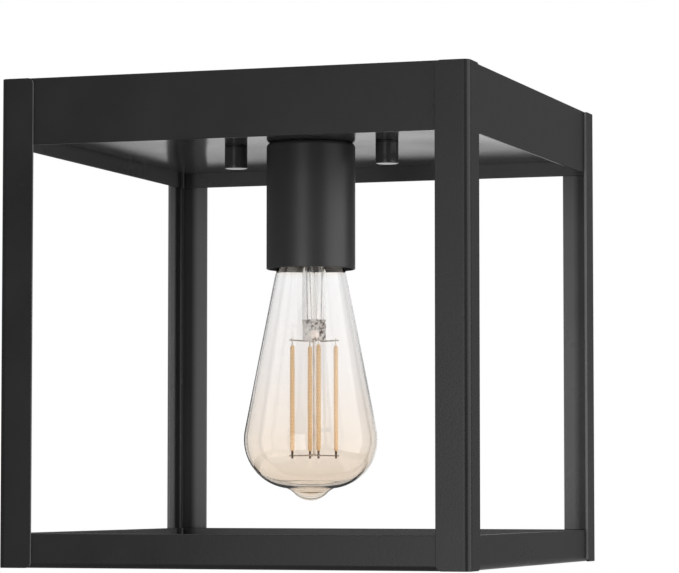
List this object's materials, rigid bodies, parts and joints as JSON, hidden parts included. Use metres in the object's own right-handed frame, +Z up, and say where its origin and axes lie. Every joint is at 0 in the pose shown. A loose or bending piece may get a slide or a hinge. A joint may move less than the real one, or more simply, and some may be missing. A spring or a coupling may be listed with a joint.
{
  "type": "flush mount ceiling light",
  "caption": "Square open-frame ceiling light: a black cage of bent sheet under a canopy with a cup lampholder and a screw-in filament bulb, carried by studs on a crossbar.",
  "frame": {"origin": "middle of the ceiling plane, between the crossbar's two box slots", "axes": "+Z up into the ceiling, -Y towards the face on the left of the picture, X along that face; the light hangs from z = 0 down to z = -0.204"},
  "size_m": [0.204, 0.204, 0.204],
  "materials": {
    "black_coat": "satin black powder coat",
    "black_gloss": "gloss black coat",
    "zinc": "bright zinc plate",
    "spring_steel": "bare spring steel",
    "ground_green": "green coat",
    "cap_metal": "drawn, plain",
    "phenolic": "moulded, matt brown",
    "brass": "plain",
    "block_plastic": "moulded, matt",
    "lead_black": "soft insulation",
    "lead_white": "soft insulation",
    "lead_green": "soft insulation",
    "amber_glass": "clear with an amber tint",
    "stem_glass": "clear, milky at the press",
    "base_metal": "rolled, satin",
    "solder": "dull solder",
    "insulator_black": "vitreous black",
    "board_green": "solder mask",
    "wire": "bare wire",
    "filament": "amber phosphor"
  },
  "bodies": {
    "fixture": {"post_front_left": "black_coat", "post_front_right": "black_coat", "post_rear_right": "black_coat", "post_rear_left": "black_coat", "skirt_front": "black_coat", "skirt_right": "black_coat", "skirt_rear": "black_coat", "skirt_left": "black_coat", "rail_front": "black_coat", "rail_right": "black_coat", "rail_rear": "black_coat", "rail_left": "black_coat", "canopy_plate": "black_gloss", "socket_cup": "black_coat", "crossbar": "zinc", "mounting_studs": "zinc", "stud_lock_nuts": "zinc", "ground_screw": "ground_green", "nipple": "zinc", "nipple_washer": "zinc", "nipple_nut": "zinc", "holder_cap": "cap_metal", "holder_body": "phenolic", "screw_shell": "brass", "contact_spring": "spring_steel", "terminal_block": "block_plastic", "earth_screw": "zinc", "lead_live": "lead_black", "lead_neutral": "lead_white", "lead_earth": "lead_green"},
    "contact": {"contact_plunger": "brass"},
    "bulb_carrier": {"bulb_contact": "solder"},
    "bulb": {"bulb_insulator": "insulator_black", "bulb_base": "base_metal", "bulb_driver": "board_green", "bulb_glass": "amber_glass", "bulb_stem": "stem_glass", "bulb_lead_wires": "wire", "bulb_top_wires": "wire", "bulb_post": "wire", "bulb_filaments": "filament"},
    "washer_left": {"nut_washer_left": "black_coat"},
    "nut_left": {"cap_nut_left": "black_coat"},
    "washer_right": {"nut_washer_right": "black_coat"},
    "nut_right": {"cap_nut_right": "black_coat"}
  },
  "joints": [
    {"name": "contact_press", "type": "slide", "parent": "fixture", "child": "contact", "axis": [0, 0, 1], "range_m": [0, 0.0012], "stiffness_N_per_m": 2000, "springref_m": -0.001, "deforming": ["contact_spring"]},
    {"name": "bulb_travel", "type": "slide", "parent": "fixture", "child": "bulb_carrier", "axis": [0, 0, -1], "range_m": [0, 0.01633]},
    {"name": "bulb_turn", "type": "hinge", "parent": "bulb_carrier", "child": "bulb", "pos_m": [0, 0, -0.05], "axis": [0, 0, -1], "range_deg": [0, 1620]},
    {"name": "nut_left_travel", "type": "slide", "parent": "fixture", "child": "washer_left", "axis": [0, 0, -1], "range_m": [0, 0.00477]},
    {"name": "nut_left_turn", "type": "hinge", "parent": "washer_left", "child": "nut_left", "pos_m": [-0.035, 0, -0.025], "axis": [0, 0, -1], "range_deg": [0, 2160]},
    {"name": "nut_right_travel", "type": "slide", "parent": "fixture", "child": "washer_right", "axis": [0, 0, -1], "range_m": [0, 0.00477]},
    {"name": "nut_right_turn", "type": "hinge", "parent": "washer_right", "child": "nut_right", "pos_m": [0.035, 0, -0.025], "axis": [0, 0, -1], "range_deg": [0, 2160]}
  ],
  "couplings": [
    {"joint": "bulb_travel", "follows": "bulb_turn", "m_per_rad": 0.00057757},
    {"joint": "nut_left_travel", "follows": "nut_left_turn", "m_per_rad": 0.00012637},
    {"joint": "nut_right_travel", "follows": "nut_right_turn", "m_per_rad": 0.00012637}
  ]
}
